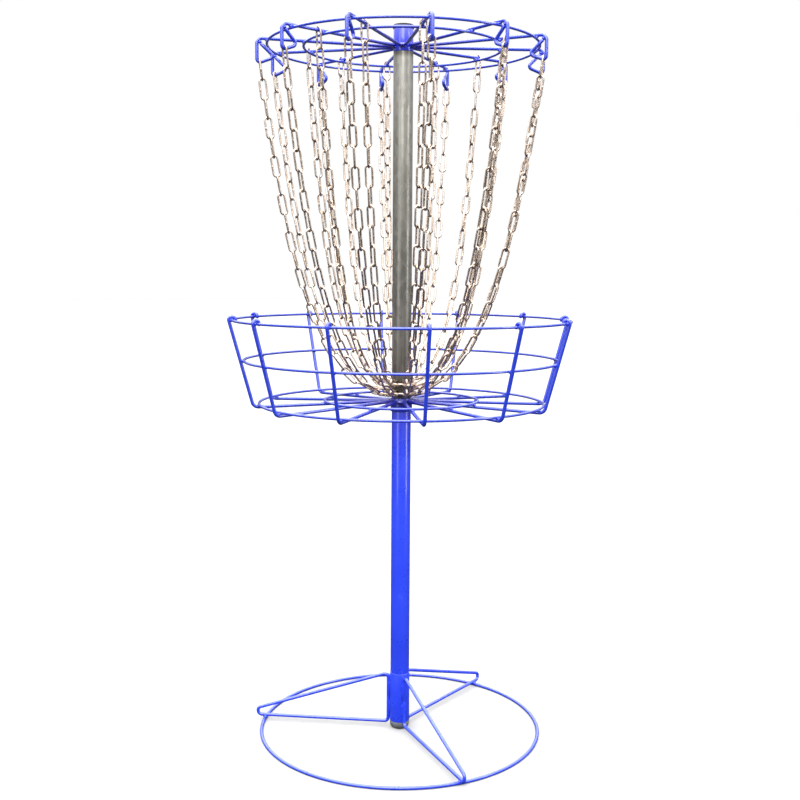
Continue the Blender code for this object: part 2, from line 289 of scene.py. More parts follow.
def make_studio():
    """Soft light from above, a little more from the front, and a strip on either side for the pole."""
    make_world()
    make_floor()
    make_area_light("key", (-0.9, -3.1, 2.6), (0, 0, 0.8), (1.9, 1.6), 45, (1.0, 0.985, 0.965))
    make_area_light("right_strip", (1.9, -1.2, 1.1), (0, 0, 0.9), (0.28, 1.9), 12)
    make_area_light("left_strip", (-1.9, -1.5, 1.1), (0, 0, 0.9), (0.7, 1.9), 8)
    bpy.context.scene.view_settings.view_transform = "Standard"


# Materials

class Finish:
    """A Principled material with helpers for the node patterns that vary it."""

    def __init__(self, name, roughness, metallic, colour):
        self.material = bpy.data.materials.new(name)
        self.material.use_nodes = True
        self.tree = self.material.node_tree
        self.shader = self.tree.nodes["Principled BSDF"]
        self.shader.inputs["Roughness"].default_value = roughness
        self.shader.inputs["Metallic"].default_value = metallic
        self.shader.inputs["Base Color"].default_value = (*colour, 1)
        self.place = self.tree.nodes.new("ShaderNodeTexCoord")

    def join(self, out, into):
        self.tree.links.new(out, into)

    def at(self, scale):
        """Object coordinates, scaled along each axis."""
        mapping = self.tree.nodes.new("ShaderNodeMapping")
        mapping.inputs["Scale"].default_value = scale
        self.join(self.place.outputs["Object"], mapping.inputs["Vector"])
        return mapping.outputs["Vector"]

    def axes(self):
        """The X, Y and Z of the object coordinates, which are those of the row at rest."""
        apart = self.tree.nodes.new("ShaderNodeSeparateXYZ")
        self.join(self.place.outputs["Object"], apart.inputs["Vector"])
        return apart.outputs

    def noise(self, scale, detail=4.0, roughness=0.55, stretch=(1, 1, 1)):
        pattern = self.tree.nodes.new("ShaderNodeTexNoise")
        pattern.inputs["Scale"].default_value = scale
        pattern.inputs["Detail"].default_value = detail
        pattern.inputs["Roughness"].default_value = roughness
        self.join(self.at(stretch), pattern.inputs["Vector"])
        return pattern.outputs["Fac"]

    def cells(self, scale, stretch=(1, 1, 1)):
        pattern = self.tree.nodes.new("ShaderNodeTexVoronoi")
        pattern.inputs["Scale"].default_value = scale
        self.join(self.at(stretch), pattern.inputs["Vector"])
        grey = self.tree.nodes.new("ShaderNodeRGBToBW")
        self.join(pattern.outputs["Color"], grey.inputs["Color"])
        return grey.outputs["Val"]

    def spread(self, value, low, high, start=0.3, end=0.7):
        """value from start to end, spread over low to high."""
        return map_range(self.tree, value, (start, end, low, high))

    def combine(self, first, second, operation="ADD"):
        node = self.tree.nodes.new("ShaderNodeMath")
        node.operation = operation
        self.join(first, node.inputs[0])
        self.join(second, node.inputs[1])
        return node.outputs["Value"]

    def blend(self, amount, first, second):
        """A colour between two, each a colour or another node's output."""
        node = self.tree.nodes.new("ShaderNodeMix")
        node.data_type = "RGBA"
        self.join(amount, node.inputs[0])
        for socket, colour in ((node.inputs[6], first), (node.inputs[7], second)):
            if isinstance(colour, tuple):
                socket.default_value = (*colour, 1)
            else:
                self.join(colour, socket)
        return node.outputs[2]

    def bump(self, height, strength, distance, under=None):
        node = self.tree.nodes.new("ShaderNodeBump")
        node.inputs["Strength"].default_value = strength
        node.inputs["Distance"].default_value = distance
        self.join(height, node.inputs["Height"])
        if under:
            self.join(under, node.inputs["Normal"])
        return node.outputs["Normal"]

    def into(self, socket, value):
        self.join(value, self.shader.inputs[socket])


def hub_shade(finish):
    """A mask of painted shade: 1 by the two hubs, where the wires crowd together, falling to 0 along the
    wires and down the pole.
    """
    full_radius, clear_radius = 0.035, 0.15
    clear_height, full_height = HUB_BOTTOM - 0.10, HUB_BOTTOM + 0.005
    axes = finish.axes()
    squares = [finish.combine(axes[axis], axes[axis], "MULTIPLY") for axis in "XY"]
    near = finish.spread(finish.combine(*squares), 1.0, 0.0, full_radius**2, clear_radius**2)
    high = finish.spread(axes["Z"], 0.0, 1.0, clear_height, full_height)
    return finish.combine(near, high, "MULTIPLY")


def make_blue_coat(name, dark, light, shade):
    """Glossy blue powder coat: orange peel, mottling, dull scuffs, and painted shade by the hubs."""
    coat = Finish(name, 0.3, 0.0, light)
    coat.shader.inputs["Coat Weight"].default_value = 1.0
    coat.shader.inputs["Coat Roughness"].default_value = 0.12
    coat.shader.inputs["Specular IOR Level"].default_value = 0.8
    mottle = coat.spread(coat.noise(9, 5), 0, 1)
    body = coat.blend(mottle, dark, light)
    scuffs = coat.spread(coat.noise(130, 6, 0.7, (1, 1, 0.45)), 0, 0.6, 0.62, 0.72)
    scuffed = (*(1.5 * part + 0.02 for part in light[:2]), light[2])
    body = coat.blend(scuffs, body, scuffed)
    # Painted shade: the coat darkens to its shade colour by the hubs and at the top of the lower pole
    coat.into("Base Color", coat.blend(hub_shade(coat), body, shade))
    dull = coat.combine(coat.spread(coat.noise(24, 5), 0.22, 0.40), coat.spread(scuffs, 0, 0.18, 0, 0.6))
    coat.into("Roughness", dull)
    peel = coat.bump(coat.noise(620, 3, 0.5), 0.22, 0.0003)
    coat.into("Normal", coat.bump(coat.noise(70, 3, 0.5), 0.15, 0.0006, peel))
    return coat.material


def make_galvanised():
    """Dull galvanised tube: spangle, drawn lines, stains, painted shade above its foot and a dark band
    under its upper end.
    """
    zinc = Finish("galvanised_tube", 0.42, 0.75, (0.46, 0.46, 0.43))
    spangle = zinc.spread(zinc.cells(150, (1, 1, 0.5)), 0, 1, 0.1, 0.9)
    body = zinc.blend(spangle, (0.20, 0.193, 0.170), (0.30, 0.292, 0.264))
    stain = zinc.spread(zinc.noise(7, 5, 0.6, (1, 1, 0.5)), 0, 0.7, 0.42, 0.72)
    body = zinc.blend(stain, body, (0.14, 0.142, 0.120))
    height = zinc.axes()["Z"]
    low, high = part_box("upper_pole")
    # Painted shade: darker towards the foot, where the basket and chains shade the pole
    basket_shadow = zinc.spread(height, 0.85, 0.0, low.z + 0.015, low.z + 0.11)
    # A dark band just under the upper end
    dark_top_band = zinc.spread(height, 0.0, 0.85, high.z - 0.011, high.z - 0.004)
    uneven = zinc.spread(zinc.noise(35, 4), 0.75, 1.0)
    # The painted shade at the foot and the dark band at the top, made uneven
    ends = zinc.combine(zinc.combine(basket_shadow, dark_top_band), uneven, "MULTIPLY")
    body = zinc.blend(ends, body, (0.055, 0.048, 0.036))
    drawn = zinc.noise(240, 3, 0.5, (1, 1, 0.012))
    streaks = zinc.spread(drawn, 0, 0.35, 0.5, 0.75)
    zinc.into("Base Color", zinc.blend(streaks, body, (0.40, 0.392, 0.362)))
    dull = zinc.spread(zinc.noise(30, 5), 0.24, 0.40)
    zinc.into("Roughness", zinc.combine(dull, zinc.spread(drawn, 0, 0.10)))
    fine = zinc.bump(drawn, 0.12, 0.0003)
    zinc.into("Normal", zinc.bump(zinc.noise(420, 4, 0.6), 0.18, 0.0002, fine))
    return zinc.material


def make_chain_zinc():
    """Bright zinc plating, warmer and duller in patches, with fine pitting."""
    zinc = Finish("zinc_plated_chain", 0.27, 1.0, (0.74, 0.70, 0.64))
    tone = zinc.spread(zinc.noise(42, 4), 0, 1, 0.35, 0.65)
    body = zinc.blend(tone, (0.42, 0.34, 0.272), (0.73, 0.61, 0.525))
    rub = zinc.spread(zinc.noise(260, 5, 0.65), 0, 0.55, 0.55, 0.72)
    zinc.into("Base Color", zinc.blend(rub, body, (0.23, 0.19, 0.155)))
    dull = zinc.spread(zinc.noise(90, 4), 0.16, 0.34)
    zinc.into("Roughness", zinc.combine(dull, zinc.spread(rub, 0, 0.2, 0, 0.55)))
    zinc.into("Normal", zinc.bump(zinc.noise(900, 4, 0.6), 0.25, 0.0002))
    return zinc.material


def make_plastic(name, dark, light, roughness):
    """Moulded plastic: fine grain and a slightly uneven sheen."""
    plastic = Finish(name, roughness, 0.0, light)
    plastic.shader.inputs["Specular IOR Level"].default_value = 0.25
    mottle = plastic.spread(plastic.noise(60, 5), 0, 1)
    plastic.into("Base Color", plastic.blend(mottle, dark, light))
    plastic.into("Roughness", plastic.spread(plastic.noise(45, 4), roughness - 0.08, roughness + 0.12))
    plastic.into("Normal", plastic.bump(plastic.noise(1500, 3, 0.6), 0.3, 0.0002))
    return plastic.material


# Shapes

class Shell:
    """Points and faces gathered from swept and turned shapes, made into one piece."""

    def __init__(self):
        self.points = []
        self.faces = []

    def skin(self, rings, closed=False):
        """Skins rings of the same number of points: round to the first ring if closed, else with lids."""
        start, count = len(self.points), len(rings[0])
        for ring in rings:
            self.points.extend(ring)
        pairs = len(rings) if closed else len(rings) - 1
        for k in range(pairs):
            here, there = start + k * count, start + (k + 1) % len(rings) * count
            for i in range(count):
                j = (i + 1) % count
                self.faces.append((here + i, here + j, there + j, there + i))
        if not closed:
            last = start + (len(rings) - 1) * count
            self.faces.append(tuple(range(start, start + count))[::-1])
            self.faces.append(tuple(range(last, last + count)))

    def sweep(self, path, radius, sides=WIRE_SIDES, closed=False, girth=None, up=None):
        """Round wire along path, with domed ends unless it is closed. girth is a factor on the radius."""
        count = len(path)
        girth = girth or (lambda share: 1.0)
        if closed:
            along = [(path[(k + 1) % count] - path[k - 1]).normalized() for k in range(count)]
        else:
            along = [(path[min(k + 1, count - 1)] - path[max(k - 1, 0)]).normalized() for k in range(count)]
        across = Vector(up) if up else along[0].orthogonal()
        frames, rings = [], []
        for k, (point, tangent) in enumerate(zip(path, along)):
            across = (across - tangent * across.dot(tangent)).normalized()
            reach = radius * girth(k / count)
            frames.append((point, tangent, across.copy(), tangent.cross(across), reach))
        if not closed:
            frames = dome(frames[0], -1) + frames + dome(frames[-1], 1)
        turns = [2 * math.pi * i / sides for i in range(sides)]
        for point, tangent, side, other, reach in frames:
            rings.append([point + (side * math.cos(a) + other * math.sin(a)) * reach for a in turns])
        self.skin(rings, closed)

    def turned(self, profile):
        """A closed outline of (radius, height), turned about Z, outer side first from the bottom up."""
        self.skin([circle(radius, height, TURNED_SIDES) for radius, height in profile], closed=True)

    def plug(self, profile):
        """An outline of (radius, height) from a flat bottom to a flat top, turned about Z."""
        self.skin([circle(radius, height, TURNED_SIDES) for radius, height in profile])

    def nugget(self, centre, normal, size, seed):
        """A weld's squeezed-out metal between two crossing wires: a lumpy lens across the normal."""
        turn = normal.to_track_quat("Z", "Y").to_matrix()
        rows, sides = 9, 18
        rings = []
        for row in range(rows):
            lean = math.pi * (row + 0.6) / (rows + 0.2) - math.pi / 2
            flat = math.cos(lean)
            ring = []
            for i in range(sides):
                a = 2 * math.pi * i / sides
                unit = Vector((flat * math.cos(a), flat * math.sin(a), math.sin(lean)))
                lump = 1 + 0.16 * noise.noise(unit * 1.7 + Vector((seed * 3.7, seed, 0)))
                ring.append(centre + turn @ (unit * Vector(size)) * lump)
            rings.append(ring)
        self.skin(rings)

    def bead(self, start, end, radius, ripple=0.0019, seed=0):
        """A weld bead laid from start to end, with the ripples of its puddle."""
        length = (end - start).length
        steps = max(8, round(length / ripple * 6))
        path, line = [], end - start
        for k in range(steps + 1):
            drift = noise.noise(Vector((k * 0.21, seed, 0))) * radius * 0.12
            path.append(start + line * (k / steps) + line.orthogonal().normalized() * drift)

        def girth(share):
            puddle = abs(math.sin(math.pi * share * length / ripple))
            ends = min(1.0, 0.45 + 6 * min(share, 1 - share))
            return ends * (0.90 + 0.10 * puddle)

        self.sweep(path, radius, 12, girth=girth)


def dome(frame_at_end, direction):
    """Frames of a domed end past one end of a wire, in the order that the wire runs."""
    point, tangent, side, other, reach = frame_at_end
    made = []
    for a in (math.radians(degrees) for degrees in (28, 54, 76)):
        spot = point + tangent * direction * reach * 0.55 * math.sin(a)
        made.append((spot, tangent, side, other, reach * math.cos(a)))
    return made if direction > 0 else made[::-1]


def circle(radius, height, sides):
    """Points round the pole's axis, counter-clockwise from angle 0."""
    turns = [2 * math.pi * i / sides for i in range(sides)]
    return [Vector((radius * math.sin(a), -radius * math.cos(a), height)) for a in turns]


def spun(points, angle):
    """The points turned about the pole's axis."""
    turn = Matrix.Rotation(angle, 3, "Z")
    return [turn @ point for point in points]


def radial(radius, height, angle=0.0, across=0.0):
    """A point at this distance from the pole's axis."""
    return spun([Vector((across, -radius, height))], angle)[0]


def rounded(points, radius, steps=10):
    """The line through points with each inner corner replaced by an arc of this radius."""
    points = [Vector(p) for p in points]
    line = [points[0]]
    for before, corner, after in zip(points, points[1:], points[2:]):
        back, ahead = (before - corner).normalized(), (after - corner).normalized()
        half = back.angle(ahead) / 2
        centre = corner + (back + ahead).normalized() * radius / math.sin(half)
        arm = corner + back * radius / math.tan(half) - centre
        turn = arm.cross(corner - centre).normalized()
        side = turn.cross(arm)
        for step in range(steps + 1):
            swept = (math.pi - 2 * half) * step / steps
            line.append(centre + arm * math.cos(swept) + side * math.sin(swept))
    line.append(points[-1])
    return line


def filled(line, longest):
    """The same line with points added on its long straight stretches."""
    made = [line[0]]
    for start, end in zip(line, line[1:]):
        parts = max(1, math.ceil((end - start).length / longest))
        made.extend(start.lerp(end, k / parts) for k in range(1, parts + 1))
    return made


def butt_weld(where, width, swell=0.10):
    """A girth with a small swelling where a ring's or link's ends are welded together."""

    def girth(share):
        away = min(abs(share - where), 1 - abs(share - where)) / width
        return 1 + swell * math.exp(-away * away * 4)

    return girth


def tube_profile(outer, inner, bottom, top, edge=EDGE_ROUND):
    """The outline of a tube's wall with its four edges rounded."""
    corners = ((outer, bottom, -90), (outer, top, 0), (inner, top, 90), (inner, bottom, 180))
    profile = []
    for radius, height, first in corners:
        centre_r = radius - edge if radius == outer else radius + edge
        centre_z = height - edge if height == top else height + edge
        for step in range(4):
            a = math.radians(first + 30 * step)
            profile.append((centre_r + edge * math.cos(a), centre_z + edge * math.sin(a)))
    return profile


def make_piece(name, shell, finish, nodes, body=None, sharp=42):
    """Makes a shell into an object that rides on its body and stands for the CAD nodes it is given."""
    material, slot = finish
    mesh = bpy.data.meshes.new(name)
    mesh.from_pydata([tuple(p) for p in shell.points], [], shell.faces)
    mesh.shade_smooth()
    mesh.set_sharp_from_angle(angle=math.radians(sharp))
    mesh.materials.append(material)
    thing = bpy.data.objects.new(name, mesh)
    bpy.context.scene.collection.objects.link(thing)
    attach(thing, body or NODE_BODY[nodes[0]])
    if nodes:
        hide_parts(*nodes)


# Wire routes, the same as the CAD's with finer bends

def hub_corner(hub_radius):
    """How far out a hairpin's inner bends lie, for its short run to lie against the hub."""
    return (hub_radius + HEAVY_WIRE / 2 + GAP) / math.cos(HAIRPIN_HALF_ANGLE)


def hairpin(hub_radius, leg):
    """Two legs of one wire, joined by a short run against the hub. leg lists (radius, height) outwards."""
    start, sides = hub_corner(hub_radius), []
    for sign in (-1, 1):
        sine, cosine = math.sin(sign * HAIRPIN_HALF_ANGLE), math.cos(HAIRPIN_HALF_ANGLE)
        sides.append([Vector((r * sine, -r * cosine, z)) for r, z in leg])
    corners = [radial(start, leg[0][1], sign * HAIRPIN_HALF_ANGLE) for sign in (-1, 1)]
    bend = rounded([sides[0][0], *corners, sides[1][0]], HEAVY_WIRE * 0.6, steps=8)
    return filled(sides[0][::-1] + bend[1:-1] + sides[1], 0.02)


def rib_height(radius):
    return RIB_FLOOR_HEIGHT + RIB_SLOPE * (BOTTOM_RING_RADIUS - radius)


def rib_leg():
    """(radius, height) points of one basket rib: along the floor, up the wall, and over the rim."""
    wall = Vector((RIM_RADIUS - MIDDLE_RING_RADIUS, RIM_HEIGHT - MIDDLE_RING_HEIGHT)).normalized()
    outward = Vector((wall.y, -wall.x))
    rim = Vector((RIM_RADIUS, RIM_HEIGHT))
    shoulder = rim + outward * WELD
    corner = shoulder - wall * ((shoulder.y - RIB_FLOOR_HEIGHT) / wall.y)
    floor = [
        (HAIRPIN_START, rib_height(HAIRPIN_START), 0),
        (corner.x, rib_height(corner.x), 0),
        (shoulder.x, shoulder.y, 0),
    ]
    leg = [(p.x, p.y) for p in rounded(floor, RIB_BEND, steps=12)]
    first = math.atan2(outward.y, outward.x)
    steps = 22
    for step in range(1, steps + 1):
        angle = first + RIM_HOOK_SWEEP * step / steps
        leg.append((rim.x + WELD * math.cos(angle), rim.y + WELD * math.sin(angle)))
    return leg


def spoke_height(radius):
    return SPOKE_HEIGHT - SPOKE_SLOPE * (OUTER_RING_RADIUS - radius)


def spoke_leg():
    """(radius, height) points of one spoke: out over both rings, and round the loop that holds a chain."""
    low = SPOKE_HEIGHT - LOOP_HEIGHT - LOOP_CORNER_CUT
    corners = [
        (HAIRPIN_START, spoke_height(HAIRPIN_START), 0),
        (LOOP_OUTSIDE - LOOP_SHOULDER, SPOKE_HEIGHT, 0),
        (LOOP_OUTSIDE, SPOKE_HEIGHT - LOOP_SHOULDER, 0),
        (LOOP_OUTSIDE, low, 0),
        (LOOP_OUTSIDE - LOOP_LENGTH, low + LOOP_CLIMB, 0),
        (LOOP_OUTSIDE - LOOP_END_INSET, SPOKE_HEIGHT - LOOP_END_DROP, 0),
    ]
    return [(p.x, p.y) for p in rounded(corners, LOOP_BEND, steps=9)]


def strut_line():
    """One base strut: down the sleeve, out over the ground ring, round its tip and back to the sleeve."""
    inside = SLEEVE_RADIUS + HEAVY_WIRE / 2 + GAP
    tip = GROUND_RING_RADIUS + STRUT_OVERHANG
    shoulder = SLEEVE_TOP - HEAVY_WIRE / 2
    middle = (STRUT_FLOOR_HEIGHT + shoulder) / 2
    corners = [
        radial(inside, middle - GAP / 2),
        radial(inside, STRUT_FLOOR_HEIGHT),
        radial(tip, STRUT_FLOOR_HEIGHT),
        radial(tip, STRUT_FLOOR_HEIGHT + STRUT_TIP_HEIGHT),
        radial(inside, shoulder),
        radial(inside, middle + GAP / 2),
    ]
    return filled(rounded(corners, STRUT_BEND, steps=10), 0.02)


# Chains

def hanging_line(low, high, link, count):
    """(radius, height) of the joints of count equal links hung between two points, from low to high."""
    across, up = high[0] - low[0], high[1] - low[1]

    def slopes(pull, lift):
        return [math.atan2(lift + k, pull) for k in range(count)]

    def miss(pull, lift):
        """How far the top end lands from where it should, across and up."""
        leans = slopes(pull, lift)
        return link * sum(map(math.cos, leans)) - across, link * sum(map(math.sin, leans)) - up

    def limited(change):
        return max(-0.5, min(0.5, change))

    # Newton's steps on two unknowns, the level pull and the lift at the low end, in weights of a link
    pull, lift, step = 2.0, 1.0, 1e-5
    for _ in range(60):
        here, by_pull, by_lift = miss(pull, lift), miss(pull + step, lift), miss(pull, lift + step)
        a, c = ((by_pull[i] - here[i]) / step for i in (0, 1))
        b, d = ((by_lift[i] - here[i]) / step for i in (0, 1))
        size = a * d - b * c
        pull = max(0.05, pull - limited((here[0] * d - here[1] * b) / size))
        lift -= limited((here[1] * a - here[0] * c) / size)
    joints = [low]
    for slope in slopes(pull, lift):
        joints.append((joints[-1][0] + link * math.cos(slope), joints[-1][1] + link * math.sin(slope)))
    return joints


def link_line(inside):
    """The centre line of one link lying along X, with its weld in the middle of one side."""
    reach = inside / 2 + LINK_WIRE / 2
    bend = (LINK_WIDTH - LINK_WIRE) / 2
    straight = reach - bend
    line = [Vector((straight * s, bend, 0)) for s in (0.0, -0.12, -0.5)]
    line += [Vector((-straight - bend * math.sin(a), bend * math.cos(a), 0)) for a in half_turn()]
    line += [Vector((straight * s, -bend, 0)) for s in (-0.5, 0.0, 0.5)]
    line += [Vector((straight + bend * math.sin(a), -bend * math.cos(a), 0)) for a in half_turn()]
    line += [Vector((straight * s, bend, 0)) for s in (0.5, 0.12, 0.06)]
    return line


def half_turn(steps=10):
    return [math.pi * k / steps for k in range(steps + 1)]


def strand_route(joint, gather, twists):
    """A link's inside length, and where a strand's links meet, from its gather ring up to its wire."""
    top = Vector(joint["pos_m"])
    high = (math.hypot(top.x, top.y), top.z + HEAVY_WIRE / 2 + GAP)
    low = (GATHER_RADIUS - RING_WIRE / 2 - GATHER_PLAY, gather)
    length = STRAND_LENGTH * (1 - TWIST_SHARE * twists) + HEAVY_WIRE / 2 + RING_WIRE / 2
    inside = length / LINKS
    return inside, [radial(r, z) for r, z in hanging_line(low, high, inside, LINKS)]


def strand(joint, kind, degrees, rng):
    """One strand's links, each turned a quarter against the next, with some slack and a few half twists."""
    angle = math.radians(degrees)
    gather = LOWER_GATHER_HEIGHT if kind == "outer" else UPPER_GATHER_HEIGHT
    twists = (INNER_CHAIN_TWISTS if kind == "inner" else 0) + (degrees in TIGHT_CHAINS[kind])
    inside, joints = strand_route(joint, gather, twists)
    template = link_line(inside)
    shell = Shell()
    sideways = Vector((1, 0, 0))
    last = LINKS - 1
    lean = 0.0
    for k, (start, end) in enumerate(zip(joints, joints[1:])):
        along = (end - start).normalized()
        inward = along.cross(sideways).normalized()
        quarter = 0 if (last - k) % 2 == 0 else math.pi / 2
        loose = min(1.0, min(k, last - k) / HELD_LINKS)
        lean = 0.6 * lean + math.radians(rng.uniform(-LINK_LEAN, LINK_LEAN))
        roll = quarter + lean * loose + math.pi * twists * k / last
        across = sideways * math.cos(roll) + inward * math.sin(roll)
        normal = along.cross(across)
        if rng.random() < 0.5:
            across, normal = -across, -normal
        middle = (start + end) / 2
        line = spun([middle + along * p.x + across * p.y for p in template], angle)
        girth = butt_weld(0.0, 0.045, rng.uniform(0.10, 0.2))
        up = spun([normal], angle)[0]
        shell.sweep(line, LINK_WIRE / 2, LINK_SIDES, closed=True, girth=girth, up=up)
    return shell


def make_chains(zinc):
    """Every strand's links in one piece, which swings on the strand's body."""
    rng = random.Random(11)
    for joint in frame["joints"]:
        if "_swing_" not in joint["name"]:
            continue
        kind, _, degrees = joint["name"].split("_")
        node = f"{kind}_chain_{degrees}"
        make_piece(f"{node}_links", strand(joint, kind, int(degrees), rng), zinc, [node])


# Sections

def make_ring(node, radius, height, wire, finish, weld_at, swell=0.08):
    """A hoop of wire. weld_at says where its butt weld is, as a share of the way round."""
    shell = Shell()
    line, girth = circle(radius, height, RING_STEPS), butt_weld(weld_at, 0.004, swell)
    shell.sweep(line, wire / 2, closed=True, girth=girth, up=(0, 0, 1))
    make_piece(f"{node}_wire", shell, finish, [node])


def weld_strut(welds, angle, sleeve_bottom, seed):
    """Two beads up each side of a strut on the sleeve, metal behind it, and a nugget on the ring."""
    shoulder = SLEEVE_TOP - HEAVY_WIRE / 2
    groove_radius, groove_side = SLEEVE_RADIUS + 0.0008, 0.0031
    rise = shoulder - STRUT_FLOOR_HEIGHT
    for low, high in ((0.20, 0.41), (0.62, 0.82)):
        for side in (-1, 1):
            ends = [
                radial(groove_radius, STRUT_FLOOR_HEIGHT + rise * share, angle, side * groove_side)
                for share in (low, high)
            ]
            welds.bead(*ends, STRUT_BEAD, seed=seed * 5 + side + low)
    heights = (sleeve_bottom + 0.004, shoulder - STRUT_BEND)
    root = [radial(SLEEVE_RADIUS + GAP / 2, height, angle) for height in heights]
    welds.sweep(filled(root, 0.01), STRUT_ROOT, 8)
    crossing = radial(GROUND_RING_RADIUS, GROUND_WIRE + GAP / 2, angle)
    welds.nugget(crossing, Vector((0, 0, 1)), STRUT_NUGGET, seed)


def make_base(blue, grey):
    """The ground ring, the three struts, and the sleeve with its plug."""
    make_ring("base_ring", GROUND_RING_RADIUS, GROUND_WIRE / 2, GROUND_WIRE, blue, 0.62)
    line = strut_line()
    welds = Shell()
    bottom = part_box("base_sleeve")[0].z
    for k in range(STRUTS):
        angle = FIRST_STRUT_ANGLE + 2 * math.pi * k / STRUTS
        shell = Shell()
        shell.sweep(spun(line, angle), HEAVY_WIRE / 2, up=radial(0, 0, angle, 1))
        node = f"base_strut_{k + 1}"
        make_piece(f"{node}_wire", shell, blue, [node])
        weld_strut(welds, angle, bottom, k)
    make_piece("base_welds", welds, blue, [], "base")
    sleeve = Shell()
    sleeve.turned(tube_profile(SLEEVE_RADIUS, BORE_RADIUS, bottom, SLEEVE_TOP, 0.0005))
    make_piece("base_sleeve_tube", sleeve, blue, ["base_sleeve"])
    make_foot_plug(bottom, grey)


def make_foot_plug(sleeve_bottom, grey):
    """A moulded plug: a flat foot, a rounded shoulder, a flange under the sleeve and ribs up its bore."""
    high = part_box("foot_plug")[1]
    shoulder = sleeve_bottom - GAP
    flat, head, edge = 0.0125, high.x, 0.0003
    profile = [(flat * 0.55, 0.0009), (flat * 0.62, 0.0002), (flat * 0.70, 0.0)]
    rise = shoulder * 0.72
    profile += [
        (flat + (head - flat) * math.sin(a), rise * (1 - math.cos(a)))
        for a in (math.radians(9 * k) for k in range(11))
    ]
    profile += [(head, shoulder - edge), (head - edge, shoulder)]
    ribs, groove, slope = 4, 0.0012, 0.0006
    for k in range(ribs):
        start = shoulder + 0.001 + k * (high.z - shoulder - 0.002) / ribs
        profile += [(JOINER_RADIUS - groove, start), (JOINER_RADIUS - groove, start + 0.0016)]
        profile += [(JOINER_RADIUS, start + 0.0022), (JOINER_RADIUS - slope, start + 0.0032)]
    profile += [(JOINER_RADIUS - 0.002, high.z - 0.0002), (JOINER_RADIUS - 0.003, high.z)]
    shell = Shell()
    shell.plug(profile)
    make_piece("foot_plug_moulding", shell, grey, ["foot_plug"], sharp=50)


def make_pole(node, finish):
    """A length of the pole's tube."""
    low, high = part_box(node)
    shell = Shell()
    shell.turned(tube_profile(POLE_RADIUS, BORE_RADIUS, low.z, high.z))
    make_piece(f"{node}_tube", shell, finish, [node])


def make_joiner(node, finish):
    """An inner tube, with a lead-in chamfer at each end."""
    low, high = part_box(node)
    inner = JOINER_RADIUS - TUBE_WALL
    lead, slope = 0.0008, 0.003
    profile = [
        (JOINER_RADIUS - lead, low.z),
        (JOINER_RADIUS, low.z + slope),
        (JOINER_RADIUS, high.z - slope),
        (JOINER_RADIUS - lead, high.z),
        (inner, high.z),
        (inner, low.z),
    ]
    shell = Shell()
    shell.turned(profile)
    make_piece(f"{node}_tube", shell, finish, [node])


def hub_beads(shell, hub_radius, height, angle, seed):
    """The beads above and below a hairpin's short run against its hub."""
    half = hub_corner(hub_radius) * math.sin(HAIRPIN_HALF_ANGLE) * 0.95
    proud, off_middle = 0.0006, 0.0029
    for side in (-1, 1):
        level = height + side * off_middle
        ends = [radial(hub_radius + proud, level, angle, sign * half) for sign in (-1, 1)]
        shell.bead(*ends, HUB_BEAD, seed=seed + side)


def make_hairpins(prefix, route, turn, finish, welds, hub_radius, height):
    """The six hairpins round a hub, with their beads. Gives the angle and a seed for each of the legs."""
    legs = []
    for k in range(SPOKES // 2):
        angle = turn + PAIR_ANGLE * k - HAIRPIN_HALF_ANGLE
        shell = Shell()
        shell.sweep(spun(route, angle), HEAVY_WIRE / 2, up=(0, 0, 1))
        node = f"{prefix}_{k + 1}"
        make_piece(f"{node}_wire", shell, finish, [node])
        hub_beads(welds, hub_radius, height, angle, k * 3)
        legs += [(angle + side * HAIRPIN_HALF_ANGLE, k * 7 + side) for side in (-1, 1)]
    return legs


def make_basket(blue, shaded_blue, galvanised):
    """The lower pole with its hub, and the basket's ribs and rings."""
    rings = (
        ("basket_floor_ring", FLOOR_RING_RADIUS, FLOOR_RING_HEIGHT, 0.30),
        ("basket_bottom_ring", BOTTOM_RING_RADIUS, BOTTOM_RING_HEIGHT, 0.55),
        ("basket_middle_ring", MIDDLE_RING_RADIUS, MIDDLE_RING_HEIGHT, 0.08),
        ("basket_rim_ring", RIM_RADIUS, RIM_HEIGHT, 0.44),
    )
    for node, radius, height, weld_at in rings:
        make_ring(node, radius, height, RING_WIRE, shaded_blue, weld_at)
    wall = Vector((RIM_RADIUS - MIDDLE_RING_RADIUS, RIM_HEIGHT - MIDDLE_RING_HEIGHT)).normalized()
    route, welds = hairpin(HUB_RADIUS, rib_leg()), Shell()
    hub_height = rib_height(HAIRPIN_START)
    ribs = make_hairpins("basket_rib_pair", route, BASKET_TURN, shaded_blue, welds, HUB_RADIUS, hub_height)
    for rib, seed in ribs:
        for radius in (FLOOR_RING_RADIUS, BOTTOM_RING_RADIUS):
            spot = radial(radius, rib_height(radius) + (HEAVY_WIRE + GAP) / 2, rib)
            welds.nugget(spot, Vector((0, 0, 1)), BASKET_NUGGET, seed + radius)
        for radius, height in ((MIDDLE_RING_RADIUS, MIDDLE_RING_HEIGHT), (RIM_RADIUS, RIM_HEIGHT)):
            out = (RING_WIRE + GAP) / 2
            spot = radial(radius + wall.y * out, height - wall.x * out, rib)
            welds.nugget(spot, radial(wall.y, -wall.x, rib), BASKET_NUGGET, seed + height)
    make_piece("basket_welds", welds, shaded_blue, [], "basket_section")
    make_pole("lower_pole", blue)
    make_joiner("lower_joiner", galvanised)
    low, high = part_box("basket_hub")
    collar = Shell()
    collar.turned(tube_profile(HUB_RADIUS, POLE_RADIUS + GAP, low.z, high.z, 0.0006))
    make_piece("basket_hub_collar", collar, shaded_blue, ["basket_hub"])


